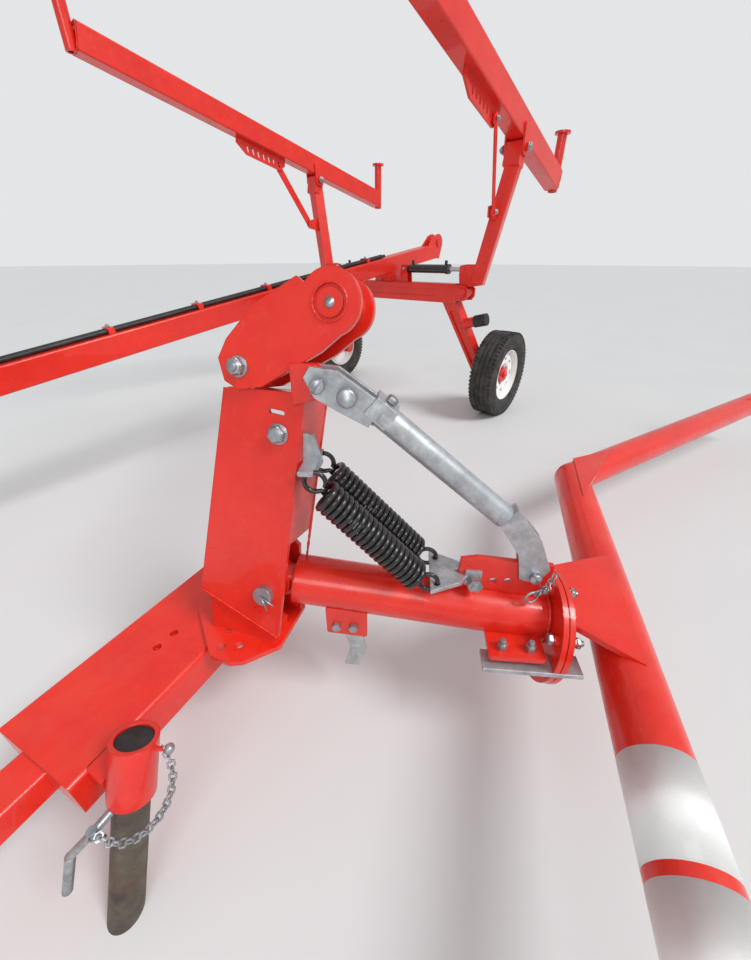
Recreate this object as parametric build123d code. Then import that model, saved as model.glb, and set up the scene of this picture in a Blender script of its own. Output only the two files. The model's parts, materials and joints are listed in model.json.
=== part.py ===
# Trailed hay tedder: a two-wheeled chassis with a long drawbar beam, two folded
# tedding booms raised on masts, and a low side frame hung from a leaning mast by springs and a strut.
# Millimetres. X is forward, Y is left, Z is up. Sizes below are laid out from the ground under the middle of the
# axle; every piece is exported from the middle of the tow eye's bore.
from build123d import *
from math import cos, radians, sin
import os

os.makedirs("parts", exist_ok=True)

RUN_FIT = 0.05  # radial clearance of a pin in its bore
SEAT = 0.3  # gap between pieces of two bodies that lie against each other

# Road wheels
TYRE_RADIUS = 300
TYRE_WIDTH = 175
RIM_RADIUS = 178
RIM_WALL = 6
WHEEL_Y = 850  # middle of each tyre from the centre line
STUB_RADIUS = 20
HUB_RADIUS = 52
VENT_COUNT = 8

# Chassis
CROSS_X = 200  # cross-beam, ahead of the axle
CROSS_Z = 840
CROSS_WIDE = 110
CROSS_HIGH = 120
CROSS_HALF = 560
LEG_TOP_Y = 500
LEG_FOOT_Y = 700
BEAM_WIDE = 96
BEAM_HIGH = 100
BEAM_REAR_X = -300
BEAM_FRONT_X = 3900
BEAM_AXLE_Z = 1052  # height of the beam's centre line over the axle
BEAM_FALL = 0.152  # how far the beam falls in each length forward
JACK_X = 3600
EYE_RADIUS = 25
EYE_THICK = 32

# Booms: a fold mast with a tilted bar on its top, the same on both sides
HINGE_Y = CROSS_HALF + 60
HINGE_Z = 848
HINGE_PIN = 18
FORK_GAP = 84
MAST_FOOT = (HINGE_Y + 80, 905)  # Y and Z of the fold mast's foot and head
MAST_HEAD = (HINGE_Y + 205, 1516)
MAST_SIDE = 84
BAR_WIDE = 96
BAR_HIGH = 116
BAR_PIVOT = (170, HINGE_Y + 205, 1583)
BAR_RISE = 12  # degrees, up to the front
BAR_SPREAD = 2  # degrees, outward to the front
BAR_BACK = 720  # from the pivot to the bar's rear end
BAR_AHEAD = 1560
BAR_OVER_PIVOT = 88  # from the pivot up to the bar's centre line
SOCKET_RADIUS = 30
SOCKET_BORE = 21
SOCKET_HIGH = 330
SLOT_COUNT = 7

# Fold cylinders
CYL_ROOT_Y = 118
CYL_Z = 985
CYL_EYE_Y = HINGE_Y - 20
CYL_RADIUS = 27
ROD_RADIUS = 14

# Side unit: its mast stands in a plane turned outward and leaning back
MAST_YAW = 24
MAST_LEAN = 14
MAST_ORIGIN = (2600, 1330, 300)
MAST_DEPTH = 116
MAST_PLATE = 10
HEAD_GAP = 66
HEAD_PLATE = 12
BOSS_RADIUS = 29
BOSS_AT = (280, 706)  # across and up in the mast's plane
ARM_PIN_AT = (147, 123)
ARM_PIN = 14
ARM_EYE_BACK = 72  # the arm's eye behind the mast's front plate

# Push bar under the mast, with the parking leg's sleeve on its outer side
PUSH_YAW = 14
PUSH_REAR = (2405, 1192, 235)
PUSH_LENGTH = 560
PUSH_WIDE = 226
PUSH_HIGH = 90
TONGUE_LENGTH = 330
TONGUE_WIDE = 80
TONGUE_HIGH = 60
TONGUE_HOLE = 13
LEG_FOOT = (2945, 1524, 0)
LEG_TOP = (2818, 1480, 330)
LEG_RADIUS = 30
SLEEVE_RADIUS = 39
SLEEVE_LONG = 110
CHAIN_LINK = 8
CHAIN_STEP = 9.7

# Side frame on its arm. Places along the arm are distances out from its pin and heights over the ground
ARM_YAW = 125  # the arm's direction, from X towards Y
ARM_FOOT = (2433, 1417)
ARM_FOOT_Z = 392
ARM_REACH = 780  # from the pin to the side tube
ARM_TIP_Z = 300
ARM_RADIUS = 57
FLANGE_AT = ARM_REACH - 176
FLANGE_RADIUS = 130
FLANGE_DROP = 27  # the flanges' middle under the arm's
FLANGE_THICK = 12
TUBE_RADIUS = 60
TUBE_YAW = 23.8
TUBE_AHEAD = 1000
TUBE_BACK = 735  # from the arm's end back to the elbow
REAR_YAW = 161.6
REAR_LENGTH = 1900
LUG_PLATE = 12
STRUT_TOP = (117, 860)
STRUT_FOOT = (FLANGE_AT - 44, 456)
STRUT_START = (224, 806)  # ends of the strut's tube
STRUT_END = (FLANGE_AT - 126, 594)
STRUT_CROSS_PIN = (168, 841)
STRUT_PIN = 9
STRUT_TUBE = 25
SPRING_TOP = (118, 655)
SPRING_FOOT = (FLANGE_AT - 294, 452)
SPRING_HOOK = (FLANGE_AT - 252, 434)
SPRING_OFF = 42  # each spring beside the arm's plane
COIL_RADIUS = 30
WIRE_RADIUS = 4.2
COIL_RIDGES = 3
BRACKET_BOLT = (FLANGE_AT - 168, 430)


def heading(yaw, pitch=0):
    """Unit vector at a yaw from X towards Y, and a pitch up, in degrees."""
    flat = cos(radians(pitch))
    return Vector(flat * cos(radians(yaw)), flat * sin(radians(yaw)), sin(radians(pitch)))


def along(start, end):
    """Plane at start whose Z runs to end and whose X lies level."""
    run = (Vector(*end) - Vector(*start)).normalized()
    level = Vector(0, 0, 1).cross(run)
    level = Vector(1, 0, 0) if level.length < 1e-6 else level.normalized()
    return Plane(origin=Vector(*start), x_dir=level, z_dir=run)


def span(start, end):
    return (Vector(*end) - Vector(*start)).length


def bar(start, end, wide, high, corner=8):
    """Box section with rounded corners from start to end."""
    return extrude(along(start, end) * RectangleRounded(wide, high, corner), span(start, end))


def rod(start, end, radius, bore=0):
    """Round bar or tube from start to end."""
    ring = Circle(radius) - Circle(bore) if bore else Circle(radius)
    return extrude(along(start, end) * ring, span(start, end))


def pin(middle, axis, radius, length):
    """Round pin centred on a point."""
    half = axis * (length / 2)
    return rod(tuple(middle - half), tuple(middle + half), radius)


def hexagon(middle, axis, across, length):
    """Bolt head standing on a point, along the axis."""
    end = middle + axis * length
    return extrude(along(tuple(middle), tuple(end)) * RegularPolygon(across / 2, 6), length)


def slab(plane, outline, thick, corner=0):
    """Plate from an outline in a plane, on both sides of that plane."""
    face = make_face(Polyline(*outline, close=True))
    if corner:
        face = fillet(face.vertices(), corner)
    return extrude(plane * face, thick / 2, both=True)


def mirrored(solid):
    return mirror(solid, about=Plane.XZ)


def beam_z(x):
    return BEAM_AXLE_Z - BEAM_FALL * x


def arm_point(out, z, off=0):
    """Point in the arm's upright plane: out from the pin, up from the ground, off towards the front."""
    run, side = heading(ARM_YAW), heading(ARM_YAW - 90)
    foot = Vector(*ARM_FOOT, 0)
    return foot + run * out + side * off + Vector(0, 0, z)


def arm_z(out):
    return ARM_FOOT_Z + (ARM_TIP_Z - ARM_FOOT_Z) * out / ARM_REACH


MAST_OUT = heading(MAST_YAW, MAST_LEAN)
MAST_FACE = Plane(origin=Vector(*MAST_ORIGIN), x_dir=heading(MAST_YAW + 90), z_dir=MAST_OUT)
ARM_PLANE = Plane(origin=arm_point(0, 0), x_dir=heading(ARM_YAW), z_dir=heading(ARM_YAW - 90))


def mast_point(across, up, back=0):
    return MAST_FACE.from_local_coords(Vector(across, up, -back))


def behind(depth):
    """The mast's plane moved back by a depth."""
    return MAST_FACE.offset(-depth)


def largest(shape):
    """The biggest solid of a trimmed piece, without the slivers that trimming leaves."""
    return max(shape.solids(), key=lambda solid: solid.volume)


pieces = {}


# Road wheels: tyre, pressed steel rim with vents, and the hub that turns on the axle's stub
def road_wheel(side):
    centre = Vector(0, WHEEL_Y, TYRE_RADIUS)
    section = Plane(origin=centre, x_dir=(0, 1, 0), z_dir=(1, 0, 0))
    half, shoulder = TYRE_WIDTH / 2, 26
    outline = Polyline(
        (-half + 18, RIM_RADIUS), (-half, RIM_RADIUS + 34), (-half + 2, TYRE_RADIUS - shoulder),
        (-half + shoulder, TYRE_RADIUS - 3), (-half + 52, TYRE_RADIUS), (half - 52, TYRE_RADIUS),
        (half - shoulder, TYRE_RADIUS - 3), (half - 2, TYRE_RADIUS - shoulder), (half, RIM_RADIUS + 34),
        (half - 18, RIM_RADIUS), close=True)
    axle = Axis(centre, (0, 1, 0))
    tyre = revolve(section * make_face(outline), axle)
    inner, disc = RIM_RADIUS - RIM_WALL, 20
    rim_half = half - 18
    pressing = Polyline(
        (-rim_half, inner), (-rim_half, RIM_RADIUS), (rim_half, RIM_RADIUS), (rim_half, inner),
        (disc + 8, inner), (disc + 22, inner - 40), (disc + 20, HUB_RADIUS + 30), (disc, HUB_RADIUS),
        (disc - 8, HUB_RADIUS), (disc + 10, HUB_RADIUS + 34), (disc + 12, inner - 38), (disc - 2, inner),
        close=True)
    rim = revolve(section * make_face(pressing), axle)
    ring = Plane(origin=centre, x_dir=(1, 0, 0), z_dir=(0, 1, 0))
    for place in PolarLocations(HUB_RADIUS + 62, VENT_COUNT):
        rim -= extrude(ring * place * Rectangle(20, 34), 60)
    hub_back, hub_front = disc - 62, disc + 26
    hub = rod(tuple(centre + Vector(0, hub_back, 0)), tuple(centre + Vector(0, hub_front, 0)), HUB_RADIUS)
    hub -= rod(tuple(centre + Vector(0, hub_back, 0)), tuple(centre + Vector(0, disc, 0)), STUB_RADIUS + RUN_FIT)
    for name, solid in (("tyre", tyre), ("rim", rim), ("hub", hub)):
        pieces[f"{side}_{name}"] = solid if side == "left" else mirrored(solid)


# Axle leg: a tapered box leg from the cross-beam's end back and down to the stub, with a capped cross tube
def axle_leg(side):
    top = (CROSS_X, LEG_TOP_Y, CROSS_Z - 20)
    foot = (0, LEG_FOOT_Y, TYRE_RADIUS)
    run = (Vector(*foot) - Vector(*top)).normalized()
    flat = Plane(origin=Vector(*top), x_dir=run, z_dir=run.cross(Vector(0, 1, 0)).normalized())
    long = span(top, foot)
    leg = slab(flat, [(0, -48), (0, 48), (long, 40), (long + 30, 0), (long, -40)], 76)
    for face in (38, -38):
        leg -= slab(flat.offset(face), [(90, -26), (90, 26), (long - 80, 20), (long - 80, -20)], 24, 8)
    stub = rod((0, LEG_FOOT_Y - 30, TYRE_RADIUS), (0, WHEEL_Y + 16, TYRE_RADIUS), STUB_RADIUS)
    boss = rod((0, LEG_FOOT_Y - 30, TYRE_RADIUS), (0, LEG_FOOT_Y + 44, TYRE_RADIUS), STUB_RADIUS + 22)
    rest_tube = rod((150, 590, 640), (150, 690, 665), 34)
    cap = rod((150, 690.5, 665.2), (150, 775, 686), 40)
    for name, solid in (("axle_leg", leg + boss + stub + rest_tube), ("leg_cap", cap)):
        pieces[f"{side}_{name}"] = solid if side == "left" else mirrored(solid)


def cross_beam():
    low, high = CROSS_Z - CROSS_HIGH / 2, CROSS_Z + CROSS_HIGH / 2
    beam = bar((CROSS_X, -CROSS_HALF, CROSS_Z), (CROSS_X, CROSS_HALF, CROSS_Z), CROSS_WIDE, CROSS_HIGH)
    for x in (CROSS_X - CROSS_WIDE / 2, CROSS_X + CROSS_WIDE / 2):
        groove = Plane(origin=(x, 0, CROSS_Z), x_dir=(0, 1, 0), z_dir=(1, 0, 0))
        beam -= extrude(groove * RectangleRounded(2 * CROSS_HALF - 160, 44, 12), 6, both=True)
    fork = Plane(origin=(CROSS_X, 0, 0), x_dir=(0, 1, 0), z_dir=(1, 0, 0))
    reach = HINGE_Y + 42
    outline = [(CROSS_HALF - 150, low + 4), (reach - 20, low + 20), (reach, HINGE_Z - 24),
               (reach, HINGE_Z + 24), (reach - 30, HINGE_Z + 46), (CROSS_HALF - 150, high - 4)]
    cheek = (FORK_GAP + 2 * 14) / 2
    for sign in (1, -1):
        side = [(sign * y, z) for y, z in outline]
        ears = slab(fork, side, 2 * cheek) - slab(fork, [(sign * y, z) for y, z in (
            (CROSS_HALF, low - 9), (reach + 9, low - 9), (reach + 9, high + 30), (CROSS_HALF, high + 30))], FORK_GAP)
        beam += ears
        beam += pin(Vector(CROSS_X, sign * HINGE_Y, HINGE_Z), Vector(1, 0, 0), HINGE_PIN, 2 * cheek + 16)
        beam += hexagon(Vector(CROSS_X + cheek, sign * HINGE_Y, HINGE_Z), Vector(1, 0, 0), 62, 16)
        lug = Plane(origin=(CROSS_X, sign * CYL_ROOT_Y, 0), x_dir=(0, 1, 0), z_dir=(1, 0, 0))
        sheet = [(-34, high - 2), (34, high - 2), (22, CYL_Z + 24), (-22, CYL_Z + 24)]
        beam += slab(lug, sheet, 66) - slab(lug, [(-60, high), (60, high), (60, CYL_Z + 60), (-60, CYL_Z + 60)], 46)
        beam += pin(Vector(CROSS_X, sign * CYL_ROOT_Y, CYL_Z), Vector(1, 0, 0), 12, 78)
    pieces["cross_beam"] = beam


def main_beam():
    rear = (BEAM_REAR_X, 0, beam_z(BEAM_REAR_X))
    front = (BEAM_FRONT_X, 0, beam_z(BEAM_FRONT_X))
    beam = bar(rear, front, BEAM_WIDE, BEAM_HIGH)
    top = CROSS_Z + CROSS_HIGH / 2
    under = beam_z(CROSS_X) - BEAM_HIGH / 2
    saddle_face = Plane(origin=(0, 0, 0), x_dir=(1, 0, 0), z_dir=(0, -1, 0))
    low = [(CROSS_X - 150, beam_z(CROSS_X - 150) - BEAM_HIGH / 2 + 4), (CROSS_X - 54, top),
           (CROSS_X + 54, top), (CROSS_X + 150, beam_z(CROSS_X + 150) - BEAM_HIGH / 2 + 4)]
    saddle = slab(saddle_face, low + [(CROSS_X, under + 6)], BEAM_WIDE - 8)
    pieces["main_beam"] = beam + saddle
    head = Plane(origin=(BEAM_REAR_X, 0, beam_z(BEAM_REAR_X)), x_dir=(1, 0, 0), z_dir=(0, -1, 0))
    lobe = extrude(head * (Pos(-40, 60) * Circle(62)), 36, both=True)
    lobe += slab(head, [(-96, 34), (-70, -50), (60, -50), (90, 40), (10, 110)], 72)
    lobe -= extrude(head * Rectangle(400, 400), 24, both=True)
    lobe += pin(Vector(BEAM_REAR_X - 40, 0, beam_z(BEAM_REAR_X) + 60), Vector(0, 1, 0), 26, 92)
    pieces["rear_head"] = lobe - pieces["main_beam"]


def tow_hitch():
    z = beam_z(BEAM_FRONT_X)
    nose = along((BEAM_FRONT_X, 0, z), (BEAM_FRONT_X + 1, 0, z - BEAM_FALL))
    plate = extrude(nose * RectangleRounded(120, 130, 12), 16)
    shank = rod((BEAM_FRONT_X + 10, 0, z - 2), (BEAM_FRONT_X + 130, 0, z - 4), 24)
    ring_at = Vector(BEAM_FRONT_X + 165, 0, z - 4)
    ring = pin(ring_at, Vector(0, 0, 1), 56, EYE_THICK)
    eye = plate + shank + ring - pin(ring_at, Vector(0, 0, 1), EYE_RADIUS, EYE_THICK + 90)
    pieces["tow_eye"] = eye


def front_jack():
    z = beam_z(JACK_X)
    side = -(BEAM_WIDE / 2 + 34)
    sleeve = rod((JACK_X, side, z - 110), (JACK_X, side, z + 150), 33, 27 + SEAT)
    web = bar((JACK_X, side + 28, z), (JACK_X, -BEAM_WIDE / 2, z), 70, 90, 6)
    crank = rod((JACK_X, side, z + 150), (JACK_X, side, z + 186), 12)
    crank += rod((JACK_X, side, z + 180), (JACK_X - 140, side, z + 180), 9)
    crank += rod((JACK_X - 134, side, z + 180), (JACK_X - 134, side, z + 260), 13)
    lid = rod((JACK_X, side, z + 150), (JACK_X, side, z + 158), 33)
    pieces["front_jack_sleeve"] = sleeve + web + lid + crank
    leg = rod((JACK_X, side, 10), (JACK_X, side, z - 60), 27)
    foot = rod((JACK_X, side, 0), (JACK_X, side, 10), 75)
    pieces["front_jack_leg"] = leg + foot


# Hoses along the top of the beam, held by strap clips
def beam_hoses():
    rise = BEAM_HIGH / 2
    hoses = []
    for y in (-14, 14):
        start, end = 330, BEAM_FRONT_X - 200
        over = rise + 12
        hoses.append(rod((start, y, beam_z(start) + over), (end, y, beam_z(end) + over), 9))
    pieces["beam_hoses"] = hoses[0] + hoses[1]
    clips = None
    for x in range(500, int(BEAM_FRONT_X) - 300, 420):
        z = beam_z(x)
        base = along((x, 0, z), (x + 1, 0, z - BEAM_FALL))
        clip = extrude(base * Pos(0, rise + 10.5) * Rectangle(66, 29), 26)
        for y in (-14, 14):
            clip -= rod((x - 40, y, beam_z(x - 40) + rise + 12), (x + 60, y, beam_z(x + 60) + rise + 12), 9)
        clip -= pieces["main_beam"]
        clips = clip if clips is None else clips + clip
    pieces["hose_clips"] = clips


# Boom: fold mast, tilted bar on its pivot, slotted plate and stay link, and the tall sockets at the bar's ends
def boom(side):
    foot, head = (CROSS_X, *MAST_FOOT), (BAR_PIVOT[0], *MAST_HEAD)
    mast = bar(foot, head, MAST_SIDE, MAST_SIDE)
    knuckle = Plane(origin=(CROSS_X, 0, 0), x_dir=(0, 1, 0), z_dir=(1, 0, 0))
    block = [(HINGE_Y + 30, HINGE_Z + 34), (HINGE_Y - 32, HINGE_Z + 26), (CYL_EYE_Y - 24, CYL_Z - 34),
             (CYL_EYE_Y - 22, CYL_Z + 22), (CYL_EYE_Y + 26, CYL_Z + 30), (MAST_FOOT[0] - 22, MAST_FOOT[1] + 110),
             (MAST_FOOT[0] + 34, MAST_FOOT[1] + 40), (MAST_FOOT[0] + 34, MAST_FOOT[1] - 10)]
    shoe = slab(knuckle, block, FORK_GAP - 12)
    barrel = pin(Vector(CROSS_X, HINGE_Y, HINGE_Z), Vector(1, 0, 0), 34, FORK_GAP - 12)
    eye_room = [(CYL_EYE_Y - 60, CYL_Z - 100), (CYL_EYE_Y - 2, CYL_Z - 84), (CYL_EYE_Y + 34, CYL_Z - 34),
                (CYL_EYE_Y + 34, CYL_Z + 60), (CYL_EYE_Y - 60, CYL_Z + 60)]
    shoe = shoe - slab(knuckle, eye_room, 42)
    mast = mast + shoe + barrel - pin(Vector(CROSS_X, HINGE_Y, HINGE_Z), Vector(1, 0, 0), HINGE_PIN + RUN_FIT, 200)
    for x in (CROSS_X - 36, CROSS_X + 36):
        outward = Vector(1 if x > CROSS_X else -1, 0, 0)
        mast += hexagon(Vector(x, CYL_EYE_Y, CYL_Z), outward, 36, 5)
    pivot = Vector(*BAR_PIVOT)
    run = heading(BAR_SPREAD, BAR_RISE)
    up = run.cross(Vector(0, 1, 0)).normalized()
    up = up if up.Z > 0 else up * -1
    level = up.cross(run)
    core = pivot + up * BAR_OVER_PIVOT
    rear, front = core - run * BAR_BACK, core + run * BAR_AHEAD
    beam = bar(tuple(rear), tuple(front), BAR_WIDE, BAR_HIGH)
    tilted = Plane(origin=pivot, x_dir=run, z_dir=level * -1)
    fork = slab(tilted, [(-70, 92), (-26, -38), (26, -38), (70, 92)], BAR_WIDE + 20, 8)
    fork -= slab(tilted, [(-99, -60), (99, -60), (99, 140), (-99, 140)], BAR_WIDE)
    shank = Plane(origin=pivot, x_dir=run, z_dir=level * -1)
    tongue = slab(shank, [(-38, 26), (-38, -90), (38, -90), (38, 26)], BAR_WIDE - 2, 10)
    bolt = pin(pivot, level, 14, BAR_WIDE + 50)
    bolt += hexagon(pivot + level * (BAR_WIDE / 2 + 10), level, 40, 16)
    # slotted plate under the bar, and the stay link down to the mast
    low = BAR_OVER_PIVOT - BAR_HIGH / 2
    plate = slab(tilted, [(300, low), (690, low), (690, low - 34), (610, low - 76), (340, low - 76), (300, low - 40)], 12)
    for k in range(SLOT_COUNT):
        slot = tilted * Pos(350 + 42 * k, low - 44) * SlotOverall(34, 15, rotation=68)
        plate -= extrude(slot, 20, both=True)
    top = pivot + run * 350 + up * (low - 44)
    base = Vector(BAR_PIVOT[0] + 120, BAR_PIVOT[1] - 52, BAR_PIVOT[2] - 300)
    link = Vector(0, 18, 0)
    stay = bar(tuple(top + link), tuple(base + link), 12, 44, 4)
    stay += pin(top + link, Vector(0, 1, 0), 24, 12) + pin(base + link, Vector(0, 1, 0), 24, 12)
    stay += pin(top + Vector(0, 9, 0), Vector(0, 1, 0), 7, 40)
    stay -= plate
    pieces[f"{side}_stay_link"] = stay
    pieces[f"{side}_bar"] = (beam + fork + plate) - bolt
    reach = Plane(origin=base, x_dir=(1, 0, 0), z_dir=(0, -1, 0))
    ear = slab(reach, [(-110, -46), (20, -26), (26, 26), (-110, 60)], 12) + pin(base + Vector(0, 13, 0), Vector(0, 1, 0), 10, 46)
    pieces[f"{side}_fold_mast"] = mast + tongue + bolt + (ear - stay)
    sockets = None
    for end in (rear - run * 26, front + run * 26):
        low_end, high_end = end - Vector(0, 0, 62), end + Vector(0, 0, SOCKET_HIGH - 62)
        tube = rod(tuple(low_end), tuple(high_end), SOCKET_RADIUS, SOCKET_BORE)
        tube += rod(tuple(high_end - Vector(0, 0, 14)), tuple(high_end), SOCKET_RADIUS + 20, SOCKET_BORE)
        pieces[f"{side}_bar"] -= rod(tuple(low_end), tuple(high_end), SOCKET_RADIUS)
        sockets = tube if sockets is None else sockets + tube
    pieces[f"{side}_sockets"] = sockets
    if side == "right":
        for name in ("fold_mast", "bar", "stay_link", "sockets"):
            pieces[f"right_{name}"] = mirrored(pieces[f"right_{name}"])


# Fold cylinder: barrel on the cross-beam's lug, rod with its eye in the mast's shoe
def fold_cylinder(side):
    root, eye = Vector(CROSS_X, CYL_ROOT_Y, CYL_Z), Vector(CROSS_X, CYL_EYE_Y, CYL_Z)
    across = Vector(1, 0, 0)
    barrel = pin(root, across, 24, 42) + bar(tuple(root), tuple(root + Vector(0, 50, 0)), 40, 36, 4)
    barrel += rod(tuple(root + Vector(0, 40, 0)), tuple(eye - Vector(0, 120, 0)), CYL_RADIUS)
    barrel += rod(tuple(eye - Vector(0, 146, 0)), tuple(eye - Vector(0, 120, 0)), CYL_RADIUS + 4)
    barrel += rod((CROSS_X, CYL_ROOT_Y + 60, CYL_Z + 24), (CROSS_X, CYL_ROOT_Y + 60, CYL_Z + 52), 10)
    barrel += rod((CROSS_X, CYL_EYE_Y - 150, CYL_Z + 24), (CROSS_X, CYL_EYE_Y - 150, CYL_Z + 52), 10)
    barrel -= pin(root, across, 12 + RUN_FIT, 90)
    barrel -= rod(tuple(root + Vector(0, 90, 0)), tuple(eye - Vector(0, 90, 0)), ROD_RADIUS + RUN_FIT)
    plunger = rod(tuple(root + Vector(0, 95, 0)), tuple(eye - Vector(0, 14, 0)), ROD_RADIUS)
    plunger += pin(eye, across, 21, 30)
    plunger -= pin(eye, across, 12, 60)
    for name, solid in (("cylinder_barrel", barrel), ("cylinder_rod", plunger)):
        pieces[f"{side}_{name}"] = solid if side == "left" else mirrored(solid)


# Side unit's mast: a folded channel with the two rounded head plates bolted on its top
def side_mast():
    outline = [(-16, 102), (178, 19), (232, 543), (64, 553)]
    channel = slab(behind(MAST_DEPTH / 2), outline, MAST_DEPTH)
    inner = [(-4, 60), (166, -20), (221, 600), (76, 600)]
    room = slab(behind(MAST_PLATE + MAST_DEPTH), inner, 2 * MAST_DEPTH)
    channel -= room
    slot = behind(0) * Pos(176, 516) * SlotOverall(34, 9, rotation=-6)
    channel -= extrude(slot, -40)
    channel -= slab(behind(MAST_PLATE + MAST_DEPTH / 2), [(108, -60), (400, -60), (400, 246), (150, 246)], MAST_DEPTH)
    head = [(220, 745), (138, 699), (82, 640), (64, 606), (76, 566), (104, 552), (152, 560), (265, 626), (321, 673)]
    front = make_face(Polyline(*[(x, y) for x, y in head], close=True))
    front = front + Pos(*BOSS_AT) * Circle(54)
    near = extrude(behind(-HEAD_PLATE) * front, -HEAD_PLATE)
    far = extrude(behind(HEAD_GAP) * front, -HEAD_PLATE)
    near = near - extrude(behind(-HEAD_PLATE) * Pos(*BOSS_AT) * (Circle(BOSS_RADIUS) - Circle(BOSS_RADIUS - 5)), -3)
    core = extrude(behind(0) * Pos(*BOSS_AT) * Circle(BOSS_RADIUS + 6), -HEAD_GAP)
    hub = extrude(behind(0) * Pos(150, 640) * Rectangle(90, 20), -HEAD_GAP)
    head_piece = near + far + core + hub
    lower = Plane(origin=mast_point(0, 0), x_dir=MAST_FACE.x_dir, z_dir=MAST_FACE.z_dir)
    tie = extrude(lower.offset(0) * Pos(150, 548) * Rectangle(150, 14), -HEAD_GAP)
    channel += tie
    bolts = None
    for across, up, size, long in ((106, 593, 30, 24), (180, 475, 30, 12)):
        lift = HEAD_PLATE if up > 550 else 0
        start = mast_point(across, up, -lift)
        bolt = hexagon(start, MAST_OUT, size, long - 8) + pin(start + MAST_OUT * 2, MAST_OUT, size / 2 + 3, 4)
        bolts = bolt if bolts is None else bolts + bolt
    pieces["mast_head"] = head_piece - channel
    pieces["mast_bolts"] = bolts
    # the arm's pin runs through the front plate to a lug plate behind the channel
    lug = slab(behind(MAST_DEPTH + 6), [(-16, 60), (170, 0), (170, 190), (40, 300), (8, 300)], 12)
    pieces["mast_channel"] = channel + lug
    pieces["mast_channel"] -= extrude(behind(-20) * Pos(*ARM_PIN_AT) * Circle(ARM_PIN), -MAST_DEPTH - 60)
    spine = rod(tuple(mast_point(*ARM_PIN_AT, -12)), tuple(mast_point(*ARM_PIN_AT, MAST_DEPTH + 30)), ARM_PIN)
    knob = rod(tuple(mast_point(*ARM_PIN_AT, -14)), tuple(mast_point(*ARM_PIN_AT, 0)), ARM_PIN + 7)
    pieces["arm_pin"] = spine + knob


# Push bar with its tongue, the round-ended seat plate for the mast, and the parking leg's sleeve
def push_bar():
    run = heading(PUSH_YAW)
    rear = Vector(*PUSH_REAR)
    front = rear + run * PUSH_LENGTH
    box = bar(tuple(rear), tuple(front), PUSH_WIDE, PUSH_HIGH, 10)
    for out, off in ((262, 8), (306, 6)):
        spot = rear + run * out + heading(PUSH_YAW + 90) * off
        box -= pin(spot + Vector(0, 0, PUSH_HIGH / 2), Vector(0, 0, 1), 9, 30)
    nose = front + run * TONGUE_LENGTH
    tongue = bar(tuple(front), tuple(nose), TONGUE_WIDE, TONGUE_HIGH, 6)
    tongue -= pin(nose - run * 45, Vector(0, 0, 1), TONGUE_HOLE, 200)
    pieces["push_bar"] = box + tongue
    top = PUSH_REAR[2] + PUSH_HIGH / 2
    level = Plane(origin=(0, 0, top + 6), x_dir=(1, 0, 0), z_dir=(0, 0, 1))
    seat = slab(level, [(2582, 1236), (2638, 1392), (2622, 1440), (2600, 1462), (2523, 1492), (2400, 1440), (2440, 1230)], 12, 12)
    for x, y in ((2570, 1366), (2546, 1388), (2609, 1394), (2580, 1421)):
        seat -= pin(Vector(x, y, top + 6), Vector(0, 0, 1), 8.5, 40)
    seat -= pieces["mast_channel"]
    wedge = slab(behind(40), [(0, -60), (166, -60), (166, 30), (0, 100)], 56)
    floor = Box(2000, 2000, 400, align=(Align.CENTER, Align.CENTER, Align.MAX))
    wedge -= Pos(2500, 1300, top + 12) * floor
    pieces["mast_seat"] = seat + (wedge - pieces["mast_channel"])


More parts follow.
